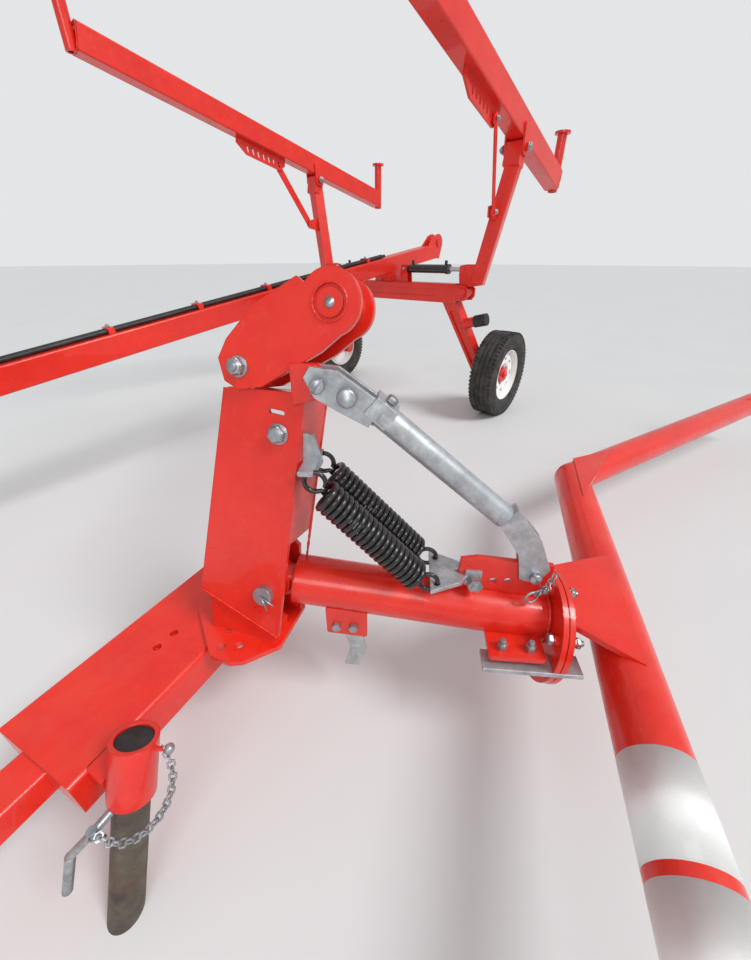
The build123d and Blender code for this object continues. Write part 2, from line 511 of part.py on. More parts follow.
def parking_leg():
    foot, top = Vector(*LEG_FOOT), Vector(*LEG_TOP)
    run = (top - foot).normalized()
    ring = rod(tuple(top - run * (SLEEVE_LONG - 8)), tuple(top + run * 8), SLEEVE_RADIUS, LEG_RADIUS + SEAT)
    inward = heading(PUSH_YAW + 90) * -1
    bridge = bar(tuple(top - run * 76 + inward * 30), tuple(top - run * 76 + inward * 110), 60, 40, 6)
    bridge -= rod(tuple(foot), tuple(top + run * 60), SLEEVE_RADIUS - 2)
    pieces["leg_sleeve"] = (ring + bridge) - pieces["push_bar"]
    leg = rod(tuple(foot), tuple(top), LEG_RADIUS)
    ground = Pos(*LEG_FOOT) * Box(400, 400, 200, align=(Align.CENTER, Align.CENTER, Align.MAX))
    pad = rod(tuple(foot - run * 20), tuple(foot + run * 1), LEG_RADIUS) - ground
    pieces["parking_leg"] = leg + pad - ground
    pieces["leg_top_cap"] = rod(tuple(top), tuple(top + run * 5), LEG_RADIUS - 1)
    side = heading(PUSH_YAW)
    bend = top - run * 92 + side * (SLEEVE_RADIUS + 30)
    handle = rod(tuple(top - run * 92 + side * (SLEEVE_RADIUS - 1)), tuple(bend + side * 4), 7) - pieces["leg_sleeve"]
    handle += rod(tuple(bend), tuple(bend + Vector(40, -20, -40)), 7)
    handle += rod(tuple(bend + Vector(38, -19, -38)), tuple(bend + Vector(70, -30, -130)), 8)
    handle += pin(bend, Vector(0, 0, 1), 8, 14)
    pieces["leg_pin_handle"] = largest(handle)
    # safety chain: interlocked links hanging from the handle's end to a staple on the sleeve
    outer = (heading(PUSH_YAW + 90) * 0.9 - side * 0.43).normalized()
    staple = top - run * 14 + outer * (SLEEVE_RADIUS - 6)
    hook = staple + outer * 24
    pieces["leg_sleeve"] += rod(tuple(staple), tuple(hook), 4) - rod(tuple(foot), tuple(top + run * 60), LEG_RADIUS + SEAT)
    ends = (bend + Vector(-4, 13, 0), hook - outer * 5)
    route = Bezier(tuple(ends[0]), tuple(ends[0] + Vector(-20, 60, -44)), tuple(ends[1] + Vector(-6, 58, -74)), tuple(ends[1]))
    count = int(route.length / CHAIN_STEP)
    links = []
    for k in range(count + 1):
        spot, way = route.position_at(k / count), route.tangent_at(k / count)
        level = way.cross(Vector(0, 0, 1)).normalized()
        flat = Plane(origin=spot, x_dir=way, z_dir=level if k % 2 else level.cross(way))
        ring_link = extrude(flat * (RegularPolygon(CHAIN_LINK, 6) - RegularPolygon(CHAIN_LINK - 3, 6)), 1.5, both=True)
        links.append(ring_link)
    links[0] -= pieces["leg_pin_handle"]
    links[-3:] = [largest(link - pieces["leg_sleeve"]) for link in links[-3:]]
    pieces["leg_chain"] = Compound(children=links)


# Arm, flange pair, side tube, elbow and rear arm of the side frame
def side_frame():
    tip = arm_point(ARM_REACH, ARM_TIP_Z)
    arm = rod(tuple(arm_point(28, arm_z(28))), tuple(tip), ARM_RADIUS)
    eye_at = mast_point(*ARM_PIN_AT, ARM_EYE_BACK)
    arm = arm + pin(eye_at, MAST_OUT, 34, 56) + bar(tuple(eye_at), tuple(arm_point(96, arm_z(96))), 50, 62, 8)
    arm -= pin(mast_point(*ARM_PIN_AT, MAST_DEPTH / 2), MAST_OUT, ARM_PIN + RUN_FIT, 300)
    slope = (arm_point(FLANGE_AT, arm_z(FLANGE_AT)), arm_point(FLANGE_AT + 40, arm_z(FLANGE_AT + 40)))
    drop = Vector(0, 0, FLANGE_DROP)
    disc = along(tuple(slope[0] - drop), tuple(slope[1] - drop))
    flanges = None
    for step in (0, FLANGE_THICK + 2):
        plate = extrude(disc.offset(step) * Circle(FLANGE_RADIUS), FLANGE_THICK)
        flanges = plate if flanges is None else flanges + plate
    for spot in PolarLocations(FLANGE_RADIUS - 24, 6, start_angle=30):
        flanges += extrude(disc.offset(-10) * spot * RegularPolygon(11, 6), 2 * FLANGE_THICK + 24)
    run = heading(TUBE_YAW)
    elbow, ahead = tip - run * TUBE_BACK, tip + run * TUBE_AHEAD
    tube = rod(tuple(elbow), tuple(ahead), TUBE_RADIUS)
    back_run = heading(REAR_YAW)
    rear = rod(tuple(elbow), tuple(elbow + back_run * REAR_LENGTH), TUBE_RADIUS)
    knee = Pos(*elbow) * Sphere(TUBE_RADIUS)
    fall = (tip - arm_point(0, ARM_FOOT_Z)).normalized()
    level = Plane(origin=tip, x_dir=run, z_dir=run.cross(fall))  # lies along the arm's slope
    # gussets: one plate at the arm's joint and one in the elbow
    joint_plate = slab(level.offset(TUBE_RADIUS - 4), [(-190, 0), (-40, -210), (70, -210), (150, 0)], 14)
    bend = Plane(origin=elbow, x_dir=run, z_dir=(0, 0, 1))
    turn = radians(REAR_YAW - TUBE_YAW)
    elbow_plate = slab(bend.offset(TUBE_RADIUS - 4), [(-50, 0), (240, -8), (250 * cos(turn), 250 * sin(turn))], 14)
    pieces["side_tube"] = tube
    pieces["rear_arm"] = (rear + knee) - tube
    pieces["side_arm"] = largest(arm - tube - flanges - pieces["mast_channel"] - pieces["arm_pin"])
    pieces["arm_flanges"] = flanges - arm
    gussets = largest(joint_plate - tube - arm - flanges) + largest(elbow_plate - tube - pieces["rear_arm"])
    pieces["side_gussets"] = gussets
    sockets = None
    for end in (ahead + run * 24, elbow + back_run * (REAR_LENGTH + 24)):
        low_end, high_end = end - Vector(0, 0, 80), end + Vector(0, 0, 170)
        socket = rod(tuple(low_end), tuple(high_end), SOCKET_RADIUS, SOCKET_BORE)
        socket += rod(tuple(high_end - Vector(0, 0, 14)), tuple(high_end), SOCKET_RADIUS + 20, SOCKET_BORE)
        for name in ("side_tube", "rear_arm"):
            pieces[name] -= rod(tuple(low_end), tuple(high_end), SOCKET_RADIUS)
        sockets = socket if sockets is None else sockets + socket
    pieces["side_sockets"] = sockets


# Plates on the arm: drilled lug on top, tab with the flat bar, and the hook's tab
def arm_fittings():
    arm = pieces["side_arm"]
    out = FLANGE_AT - 1
    lug = slab(ARM_PLANE, [(out - 207, arm_z(out - 207)), (out - 199, 478), (out - 163, 486), (out - 83, 480), (out, 474), (out, arm_z(out))], LUG_PLATE)
    for a, z, radius in ((out - 123, 422, 9), (out - 91, 424, 9), (*STRUT_FOOT, STRUT_PIN + RUN_FIT), (*BRACKET_BOLT, 9)):
        lug -= pin(arm_point(a, z), heading(ARM_YAW - 90), radius, 60)
    lug = lug - arm - pieces["arm_flanges"]
    side = heading(ARM_YAW - 90)
    tab_top = arm_z(FLANGE_AT - 94) - 26
    tab_face = Plane(origin=arm_point(0, tab_top), x_dir=heading(ARM_YAW), z_dir=(0, 0, 1))
    tab = slab(tab_face, [(FLANGE_AT - 134, -40), (FLANGE_AT - 134, -118), (FLANGE_AT - 14, -118), (FLANGE_AT - 14, -40)], 12, 6)
    tab -= arm
    strip_z = tab_top - 6 - 6 - SEAT
    strip = bar(tuple(arm_point(FLANGE_AT - 146, strip_z - 12, 106)), tuple(arm_point(FLANGE_AT + 62, strip_z - 12, 106)), 50, 12, 2)
    pieces["flat_bar"] = strip
    pieces["arm_flanges"] -= bar(tuple(arm_point(FLANGE_AT - 184, strip_z - 12, 106)), tuple(arm_point(FLANGE_AT + 116, strip_z - 12, 106)), 52, 14, 2)
    bolts = None
    for a in (FLANGE_AT - 104, FLANGE_AT - 44):
        spot = arm_point(a, tab_top + 6, 94)
        bolt = hexagon(spot, Vector(0, 0, 1), 22, 14) + rod(tuple(spot), tuple(spot + Vector(0, 0, 26)), 6)
        bolts = bolt if bolts is None else bolts + bolt
    hook_face = Plane(origin=arm_point(0, 0, 48), x_dir=heading(ARM_YAW), z_dir=heading(ARM_YAW - 90))
    hook_tab = slab(hook_face, [(104, 352), (200, 342), (200, 262), (104, 270)], 10, 6)
    pieces["arm_plates"] = lug + tab + (hook_tab - arm)
    strip_face = hook_face.offset(-8.5)
    hook = slab(strip_face, [(140, 276), (184, 276), (196, 206), (176, 140), (140, 140), (158, 206)], 6)
    pieces["bent_hook"] = hook - arm
    for a in (128, 168):
        head = hexagon(arm_point(a, 296, 53), heading(ARM_YAW - 90), 22, 10)
        bolts += head
    # galvanised spring plate, bolted on both sides of the drilled lug
    cheeks = None
    for sign in (1, -1):
        cheek_plane = ARM_PLANE.offset(sign * (LUG_PLATE / 2 + 4.3))
        cheek = slab(cheek_plane, [(BRACKET_BOLT[0] - 20, 414), (BRACKET_BOLT[0] + 16, 414), (BRACKET_BOLT[0] + 16, 452), (BRACKET_BOLT[0] - 20, 452)], 8)
        cheeks = cheek if cheeks is None else cheeks + cheek
    # level spring plate inward of the lug, notched for the springs' hooks
    tray_face = Plane(origin=arm_point(0, 434), x_dir=heading(ARM_YAW), z_dir=(0, 0, 1))
    tray = slab(tray_face, [(SPRING_HOOK[0] - 14, 66), (SPRING_HOOK[0] - 14, -66), (BRACKET_BOLT[0] - 30, -34), (BRACKET_BOLT[0] - 16, -14.2), (BRACKET_BOLT[0] - 16, -6.3), (FLANGE_AT - 209, -6.3), (FLANGE_AT - 209, 6.3), (BRACKET_BOLT[0] - 16, 6.3), (BRACKET_BOLT[0] - 16, 14.2), (BRACKET_BOLT[0] - 30, 34)], 10)
    for sign in (1, -1):
        tray -= pin(arm_point(*SPRING_HOOK, sign * SPRING_OFF), Vector(0, 0, 1), 8, 40)
    spring_plate = cheeks + tray
    through = pin(arm_point(*BRACKET_BOLT), heading(ARM_YAW - 90), 8.9, 84)
    spring_plate -= through
    bolt = through
    for sign in (1, -1):
        out_way = heading(ARM_YAW - 90) * sign
        bolt += hexagon(arm_point(*BRACKET_BOLT, sign * 26), out_way, 34, 12)
        bolt += rod(tuple(arm_point(*BRACKET_BOLT, sign * 14.6)), tuple(arm_point(*BRACKET_BOLT, sign * 26)), 15)
    pieces["spring_plate"] = spring_plate
    pieces["arm_bolts"] = bolts + (bolt - lug - spring_plate)


# Strut: tube on the mast's clevis, rod with the bent jaw on the lug plate's pin
def strut():
    side = heading(ARM_YAW - 90)
    top, foot = arm_point(*STRUT_TOP), arm_point(*STRUT_FOOT)
    ear = slab(ARM_PLANE, [(66, 818), (66, 892), (112, 892), (136, 872), (136, 848), (112, 830)], 16)
    ear -= pin(top, side, STRUT_PIN + RUN_FIT, 60)
    pieces["strut_ear"] = largest(ear - (pieces["mast_head"] + pieces["mast_channel"]))
    outline = [(92, 872), (104, 890), (150, 885), (232, 826), (204, 784), (150, 812), (108, 836)]
    upper = slab(ARM_PLANE, [(196, 812), (222, 842), (258, 812), (232, 780)], 46)
    for sign in (1, -1):
        upper += slab(ARM_PLANE.offset(sign * 14), outline, 8)
    upper += rod(tuple(arm_point(*STRUT_START)), tuple(arm_point(*STRUT_END)), STRUT_TUBE)
    upper += pin(arm_point(*STRUT_CROSS_PIN), side, 13, 58) + pin(top, side, STRUT_PIN, 62)
    shape = ((138, 585), (104, 618), (44, 545), (12, 470), (34, 428), (72, 440), (84, 505))
    low = [(FLANGE_AT - back, z) for back, z in shape]
    lower = pin(foot, side, STRUT_PIN, 54)
    for sign in (1, -1):
        lower += slab(ARM_PLANE.offset(sign * (LUG_PLATE / 2 + 5)), low, 8)
        lower += hexagon(arm_point(*STRUT_FOOT, sign * 15), side * sign, 30, 8)
    lower += slab(ARM_PLANE, [low[0], low[1], (FLANGE_AT - 80, 590), (FLANGE_AT - 108, 556)], 2 * LUG_PLATE)
    pieces["strut_tube"] = upper
    pieces["strut_jaw"] = lower - upper


# Tension springs with a hook at each end, side by side over the arm
def coil(sign):
    top = arm_point(*SPRING_TOP, sign * SPRING_OFF)
    foot = arm_point(*SPRING_FOOT, sign * SPRING_OFF)
    length = (foot - top).length
    axis_plane = along(tuple(top), tuple(foot))
    pitch = length / COIL_RIDGES
    outline = [(0, 0)]
    for k in range(COIL_RIDGES):
        outline += [(COIL_RADIUS - 2, k * pitch), (COIL_RADIUS + WIRE_RADIUS, (k + 0.5) * pitch)]
    outline += [(COIL_RADIUS - 2, length), (0, length)]
    section = Plane(origin=top, x_dir=axis_plane.x_dir, z_dir=axis_plane.x_dir.cross(axis_plane.z_dir))
    body = revolve(section * make_face(Polyline(*outline, close=True)), Axis(top, axis_plane.z_dir))
    for end, hold in ((top, (92, 697)), (foot, SPRING_HOOK)):
        body += rod(tuple(end), tuple(arm_point(*hold, sign * SPRING_OFF)), WIRE_RADIUS)
    return body


def springs():
    hanger = slab(ARM_PLANE, [(30, 770), (96, 760), (112, 700), (96, 676), (30, 700)], 10, 6)
    for sign in (1, -1):
        hanger += bar(tuple(arm_point(88, 700, sign * 4)), tuple(arm_point(88, 700, sign * (SPRING_OFF + 10))), 30, 10, 2)
    pieces["spring_hanger"] = hanger - pieces["mast_channel"]
    for name, sign in (("near_spring", 1), ("far_spring", -1)):
        pieces[name] = coil(sign) - hanger - pieces["spring_plate"] - pieces["side_arm"]


# Outrigger: the box arm behind the head that carries the side unit from the main beam
def outrigger():
    root = (1200, 0, beam_z(1200))
    tip = mast_point(190, 660, HEAD_GAP + HEAD_PLATE + 8)
    box = bar(root, tuple(tip), 70, 84, 8) - pieces["main_beam"]
    box -= slab(behind(-200 + HEAD_GAP + HEAD_PLATE), [(-400, 0), (900, 0), (900, 1200), (-400, 1200)], 400)
    pieces["outrigger"] = box


for wing in ("left", "right"):
    road_wheel(wing)
    axle_leg(wing)
    boom(wing)
    fold_cylinder(wing)
cross_beam()
main_beam()
tow_hitch()
front_jack()
beam_hoses()
side_mast()
push_bar()
parking_leg()
side_frame()
arm_fittings()
strut()
springs()
outrigger()
for wing in ("left", "right"):
    pieces[f"{wing}_axle_leg"] -= pieces["cross_beam"]

eye_home = Vector(BEAM_FRONT_X + 165, 0, beam_z(BEAM_FRONT_X) - 4)
for node, solid in pieces.items():
    export_step(Pos(*(eye_home * -1)) * solid, f"parts/{node}.step")
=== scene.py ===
# Looks of the trailed hay tedder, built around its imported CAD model.
# Metres and degrees. The origin is the middle of the tow eye's bore, X forward, Y left, Z up.
import json
import math
import random

import bpy
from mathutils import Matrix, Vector


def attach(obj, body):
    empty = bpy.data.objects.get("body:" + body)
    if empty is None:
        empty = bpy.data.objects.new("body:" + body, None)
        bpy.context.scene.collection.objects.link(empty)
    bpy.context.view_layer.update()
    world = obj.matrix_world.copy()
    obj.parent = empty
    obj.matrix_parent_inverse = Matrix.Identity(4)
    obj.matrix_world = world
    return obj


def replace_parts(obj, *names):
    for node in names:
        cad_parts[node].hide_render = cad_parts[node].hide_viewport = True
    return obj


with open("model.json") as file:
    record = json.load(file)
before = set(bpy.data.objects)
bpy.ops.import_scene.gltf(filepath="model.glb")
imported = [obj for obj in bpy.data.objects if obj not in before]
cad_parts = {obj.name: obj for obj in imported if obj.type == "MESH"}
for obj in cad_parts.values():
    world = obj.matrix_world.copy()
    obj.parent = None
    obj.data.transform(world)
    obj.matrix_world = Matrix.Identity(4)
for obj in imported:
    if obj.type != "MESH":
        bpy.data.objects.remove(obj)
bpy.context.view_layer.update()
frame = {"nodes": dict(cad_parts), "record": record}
nodes = frame["nodes"]


rng = random.Random(7)
UP = Vector((0, 0, 1))

# Places and sizes are those of part.py, laid out from the ground under the middle of the axle
EYE_HIGH = 0.4552  # the tow eye's middle over the ground
HOME = Vector((4.065, 0.0, EYE_HIGH))

# Road wheels
TYRE_RADIUS = 0.300
TYRE_HALF = 0.0875  # half of its width
RIM_RADIUS = 0.178
WHEEL_Y = 0.850

# Chassis
CROSS_X = 0.200
HINGE_Y, HINGE_Z = 0.620, 0.848
CYL_ROOT_Y, CYL_Z = 0.118, 0.985
BEAM_AXLE_Z = 1.052  # height of the beam's centre line over the axle
BEAM_FALL = 0.152  # how far the beam falls in each length forward
CLIP_FIRST_X = 0.500
CLIP_STEP = 0.420
CLIP_COUNT = 8

# Booms
BAR_PIVOT = (0.170, 0.825, 1.583)
BAR_RISE = 12
BAR_SPREAD = 2
BAR_BACK = 0.720
BAR_AHEAD = 1.560
BAR_OVER_PIVOT = 0.088
BAR_HALF = 0.058  # half of its height

# Arm and side tube. Places along the arm are a distance out from its pin and a height over the ground
ARM_YAW = 125
ARM_FOOT = (2.433, 1.417)
ARM_FOOT_Z = 0.392
ARM_TIP_Z = 0.300
ARM_REACH = 0.780
ARM_RADIUS = 0.057
TUBE_RADIUS = 0.060
TUBE_YAW = 23.8
TUBE_AHEAD = 1.000
TUBE_BACK = 0.735
REAR_YAW = 161.6
REAR_LENGTH = 1.900
FLANGE_AT = 0.604
FLANGE_RADIUS = 0.130
FLANGE_DROP = 0.027
FLANGE_PACK = 0.026  # both flanges with the gap between them

# Leaning mast. Places on it are across and up in its plane
MAST_YAW = 24
MAST_LEAN = 14
MAST_ORIGIN = (2.600, 1.330, 0.300)
BOSS_AT = (0.280, 0.706)
ARM_PIN_AT = (0.147, 0.123)
HEAD_PLATE = 0.012

# Parking leg and its sleeve
PUSH_YAW = 14
LEG_FOOT = (2.945, 1.524, 0.0)
LEG_TOP = (2.818, 1.480, 0.330)


def heading(yaw, pitch=0.0):
    """Way turned from X towards Y by yaw and raised by pitch."""
    turn, lift = math.radians(yaw), math.radians(pitch)
    return Vector((math.cos(lift) * math.cos(turn), math.cos(lift) * math.sin(turn), math.sin(lift)))


def on_circle(radius, angle, height=0.0):
    return Vector((radius * math.cos(angle), radius * math.sin(angle), height))


ARM_RUN, ARM_SIDE = heading(ARM_YAW), heading(ARM_YAW - 90)
MAST_OUT, MAST_ACROSS = heading(MAST_YAW, MAST_LEAN), heading(MAST_YAW + 90)
MAST_UP = MAST_OUT.cross(MAST_ACROSS)


def from_axle(x, y, z):
    return Vector((x, y, z)) - HOME


def arm_point(out, z, off=0.0):
    return from_axle(*ARM_FOOT, z) + ARM_RUN * out + ARM_SIDE * off


def arm_z(out):
    return ARM_FOOT_Z + (ARM_TIP_Z - ARM_FOOT_Z) * out / ARM_REACH


def mast_point(across, up, back=0.0):
    return from_axle(*MAST_ORIGIN) + MAST_ACROSS * across + MAST_UP * up - MAST_OUT * back


ARM_TIP = arm_point(ARM_REACH, ARM_TIP_Z)
ARM_WAY = (ARM_TIP - arm_point(0, ARM_FOOT_Z)).normalized()
FLANGE_MIDDLE = arm_point(FLANGE_AT, arm_z(FLANGE_AT))  # where the arm's line meets the flange


def turned(axis):
    """Matrix whose Z is the axis."""
    return axis.normalized().to_track_quat("Z", "Y").to_matrix()


def straight(start, end, steps=60):
    """Points of a straight run."""
    return [start.lerp(end, k / steps) for k in range(steps + 1)]


# Bolts: radii in shares of the head's corner radius, heights in shares of its height
HEAD_PROFILE = ((1, 0), (1, 0.8), (0.86, 1), (0.5, 1))
FACE_PROFILE = ((0.8, 0.9), (0.8, 1.04), (0.3, 1.06))
THREAD_OUTER, THREAD_INNER = 0.5, 0.44
THREAD_PITCH = 0.0016

# Each kind of bolt: corner radius and height of its head
FLANGE_BOLT = (0.0125, 0.009)
HEAD_NUT = (0.017, 0.014)
CHANNEL_BOLT = (0.018, 0.012)
STRUT_BOLT = (0.011, 0.010)
WHEEL_NUT = (0.011, 0.012)
PIVOT_BOLT = (0.019, 0.012)
LINK_TOP_BOLT = (0.011, 0.008)
LINK_FOOT_BOLT = (0.012, 0.008)
HINGE_BOLT = (0.012, 0.006)
CLIP_SCREW = (0.0075, 0.006)

# Washer under a head: radii in shares of the head's corner radius, heights in metres
WASHER_PROFILE = ((1.15, 0), (1.15, 0.0022), (1.05, 0.0028), (0.5, 0.0028))
WASHER_SEAT = 0.0025

# Welds: a wire of few sides whose radius wavers by a share
SEAM_SIDES = 6
SEAM_RIPPLE = 0.3


class Pile:
    """Collects the shapes that make one piece."""

    def __init__(self):
        self.verts, self.faces, self.smooth = [], [], []

    def add(self, verts, faces, smooth=True):
        base = len(self.verts)
        self.verts += [tuple(v) for v in verts]
        self.faces += [tuple(base + i for i in face) for face in faces]
        self.smooth += [smooth] * len(faces)

    def skin(self, verts, rows, sides, closed, smooth=True):
        """Faces between rings of points, with an end face on each open end."""
        faces = []
        for row in range(rows if closed else rows - 1):
            here, there = row * sides, (row + 1) % rows * sides
            for k in range(sides):
                beside = (k + 1) % sides
                faces.append((here + k, here + beside, there + beside, there + k))
        if not closed:
            faces.append(tuple(reversed(range(sides))))
            faces.append(tuple((rows - 1) * sides + k for k in range(sides)))
        self.add(verts, faces, smooth)

    def lathe(self, profile, at, axis, sides=24, smooth=True, closed=False, turn=0.0):
        """Turns (radius, height) points round an axis through a point."""
        basis = turned(axis)
        verts = []
        for radius, height in profile:
            for k in range(sides):
                verts.append(at + basis @ on_circle(radius, 2 * math.pi * k / sides + turn, height))
        self.skin(verts, len(profile), sides, closed, smooth)

    def tube(self, path, radius, sides=10, closed=False, ripple=0.0):
        """Sweeps a round wire along a path."""
        count = len(path)
        ways = []
        for k in range(count):
            before = path[(k - 1) % count] if closed or k else path[0]
            after = path[(k + 1) % count] if closed or k < count - 1 else path[-1]
            ways.append((after - before).normalized())
        across = ways[0].orthogonal().normalized()
        verts = []
        for k in range(count):
            across = (across - ways[k] * across.dot(ways[k])).normalized()
            other = ways[k].cross(across)
            size = radius * (1 + (rng.uniform(-ripple, ripple) if ripple else 0))
            for i in range(sides):
                angle = 2 * math.pi * i / sides
                verts.append(path[k] + (across * math.cos(angle) + other * math.sin(angle)) * size)
        self.skin(verts, count, sides, closed)

    def ring(self, at, axis, radius, wire, steps=32, sides=8, ripple=0.0):
        basis = turned(axis)
        path = [at + basis @ on_circle(radius, 2 * math.pi * k / steps) for k in range(steps)]
        self.tube(path, wire, sides, closed=True, ripple=ripple)

    def seam(self, path, wire, closed=False):
        """Weld along a path."""
        self.tube(path, wire, SEAM_SIDES, closed, SEAM_RIPPLE)

    def bolt(self, at, axis, kind, washer=True, stud=0.0):
        """Hexagon head with rounded corners on a washer, and a stud end if it is a nut."""
        size, head = kind
        turn = rng.uniform(0, 1)
        base = 0
        if washer:
            self.lathe([(size * r, h) for r, h in WASHER_PROFILE], at, axis)
            base = WASHER_SEAT
        self.lathe([(size * r, base + head * h) for r, h in HEAD_PROFILE], at, axis, 6, False, turn=turn)
        self.lathe([(size * r, base + head * h) for r, h in FACE_PROFILE], at, axis, 18)
        if stud:
            ridges = []
            for k in range(int(stud / THREAD_PITCH)):
                ridges.append((size * THREAD_OUTER, base + head + k * THREAD_PITCH))
                ridges.append((size * THREAD_INNER, base + head + (k + 0.5) * THREAD_PITCH))
            self.lathe(ridges, at, axis, 16)

    def make(self, name, material, body):
        mesh = bpy.data.meshes.new(name)
        mesh.from_pydata(self.verts, [], self.faces)
        mesh.polygons.foreach_set("use_smooth", self.smooth)
        mesh.materials.append(material)
        mesh.update()
        piece = bpy.data.objects.new(name, mesh)
        bpy.context.scene.collection.objects.link(piece)
        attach(piece, body)
        return piece


# Materials
def srgb(r, g, b):
    def linear(c):
        c /= 255
        return c / 12.92 if c <= 0.04045 else ((c + 0.055) / 1.055) ** 2.4
    return (linear(r), linear(g), linear(b), 1)


class Shader:
    """A material with the few steps that the looks below are made of."""

    def __init__(self, name):
        self.material = bpy.data.materials.new(name)
        self.material.use_nodes = True
        self.tree = self.material.node_tree
        self.bsdf = self.tree.nodes["Principled BSDF"]
        self.place = self.node("ShaderNodeTexCoord").outputs["Object"]

    def node(self, kind, **values):
        made = self.tree.nodes.new(kind)
        for key, value in values.items():
            setattr(made, key, value)
        return made

    def link(self, source, target):
        self.tree.links.new(source, target)

    def noise(self, scale, detail=6, rough=0.6):
        texture = self.node("ShaderNodeTexNoise")
        texture.inputs["Scale"].default_value = scale
        texture.inputs["Detail"].default_value = detail
        texture.inputs["Roughness"].default_value = rough
        self.link(self.place, texture.inputs["Vector"])
        return texture.outputs["Fac"]

    def step(self, value, low, high, out_low=0.0, out_high=1.0):
        """Ramp from out_low at low to out_high at high."""
        ramp = self.node("ShaderNodeMapRange")
        ramp.inputs["From Min"].default_value = low
        ramp.inputs["From Max"].default_value = high
        ramp.inputs["To Min"].default_value = out_low
        ramp.inputs["To Max"].default_value = out_high
        self.link(value, ramp.inputs["Value"])
        return ramp.outputs["Result"]

    def times(self, first, second, how="MULTIPLY"):
        result = self.node("ShaderNodeMath", operation=how)
        self.link(first, result.inputs[0])
        if isinstance(second, float):
            result.inputs[1].default_value = second
        else:
            self.link(second, result.inputs[1])
        return result.outputs[0]

    def mix(self, factor, first, second):
        blend = self.node("ShaderNodeMix", data_type="RGBA")
        self.link(factor, blend.inputs["Factor"])
        for name, value in (("A", first), ("B", second)):
            colour = [socket for socket in blend.inputs if socket.name == name and socket.type == "RGBA"][0]
            if isinstance(value, tuple):
                colour.default_value = value
            else:
                self.link(value, colour)
        return [socket for socket in blend.outputs if socket.type == "RGBA"][0]

    def facing_up(self):
        """1 where the surface faces up."""
        split = self.node("ShaderNodeSeparateXYZ")
        self.link(self.node("ShaderNodeNewGeometry").outputs["Normal"], split.inputs[0])
        return self.step(split.outputs["Z"], 0.2, 1.0)

    def rounded(self, radius):
        """Normal that rounds sharp edges."""
        bevel = self.node("ShaderNodeBevel", samples=4)
        bevel.inputs["Radius"].default_value = radius
        return bevel.outputs["Normal"]

    def edges(self, rounded):
        """1 along sharp edges, from the normal that rounds them."""
        dot = self.node("ShaderNodeVectorMath", operation="DOT_PRODUCT")
        self.link(rounded, dot.inputs[0])
        self.link(self.node("ShaderNodeNewGeometry").outputs["Normal"], dot.inputs[1])
        return self.step(dot.outputs["Value"], 0.97, 0.8)

    def bump(self, value, strength, distance, normal=None):
        relief = self.node("ShaderNodeBump")
        relief.inputs["Strength"].default_value = strength
        relief.inputs["Distance"].default_value = distance
        self.link(value, relief.inputs["Height"])
        if normal is not None:
            self.link(normal, relief.inputs["Normal"])
        return relief.outputs["Normal"]

    def finish(self, colour, rough, normal=None, metallic=0.0, coat=0.0):
        for name, value in (("Base Color", colour), ("Roughness", rough), ("Normal", normal)):
            if value is None:
                continue
            if isinstance(value, float):
                self.bsdf.inputs[name].default_value = value
            else:
                self.link(value, self.bsdf.inputs[name])
        self.bsdf.inputs["Metallic"].default_value = metallic
        self.bsdf.inputs["Coat Weight"].default_value = coat
        return self.material


def paint(name, base, dark, dust, dust_much, gloss, chipped=None, coat=0.25):
    """Clouded paint with a dust film on top and, where chipped, worn edges."""
    look = Shader(name)
    cloudy = look.step(look.noise(5.0, 5), 0.35, 0.68)
    colour = look.mix(cloudy, base, dark)
    specks = look.step(look.noise(60.0, 8, 0.7), 0.52, 0.72)
    lying = look.step(look.noise(14.0, 8, 0.7), 0.45, 0.75)
    film = look.times(lying, look.step(look.facing_up(), 0.0, 1.0, 0.25, 1.0))
    film = look.times(look.times(film, specks, "MAXIMUM"), dust_much)
    colour = look.mix(film, colour, dust)
    soft = look.rounded(0.004)
    if chipped:
        worn = look.times(look.edges(soft), look.step(look.noise(45.0, 8, 0.75), 0.54, 0.62))
        colour = look.mix(look.times(worn, 0.8), colour, chipped)
    rough = look.step(look.noise(24.0, 6), 0.3, 0.75, gloss, gloss + 0.25)
    peel = look.noise(220.0, 2)
    return look.finish(colour, rough, look.bump(peel, 0.12, 0.0008, soft), coat=coat)


def metal(name, light, dark, rough, stain=None, scale=30.0, metallic=0.85):
    """Patchy metal with crystal flakes and, where stained, spots of rust or dirt."""
    look = Shader(name)
    flakes = look.node("ShaderNodeTexVoronoi")
    flakes.inputs["Scale"].default_value = scale * 4
    look.link(look.place, flakes.inputs["Vector"])
    patch = look.step(look.noise(scale, 8, 0.7), 0.32, 0.7)
    colour = look.mix(patch, light, dark)
    split = look.node("ShaderNodeSeparateColor")
    look.link(flakes.outputs["Color"], split.inputs[0])
    colour = look.mix(look.step(split.outputs[0], 0.0, 1.0, 0.0, 0.3), colour, dark)
    if stain:
        spots = look.step(look.noise(scale * 0.6, 8, 0.75), 0.56, 0.7)
        colour = look.mix(look.times(spots, 0.7), colour, stain)
    shine = look.step(look.noise(scale * 2, 6), 0.3, 0.7, rough, rough + 0.2)
    grain = look.bump(look.noise(scale * 5, 6), 0.2, 0.0006, look.rounded(0.002))
    return look.finish(colour, shine, grain, metallic)


def rubber(name, base, dust, dust_much, gloss):
    look = Shader(name)
    film = look.times(look.step(look.noise(16.0, 8, 0.7), 0.4, 0.7), dust_much)
    colour = look.mix(film, base, dust)
    rough = look.step(look.noise(50.0, 6), 0.3, 0.7, gloss, gloss + 0.2)
    return look.finish(colour, rough, look.bump(look.noise(140.0, 5), 0.2, 0.0006))


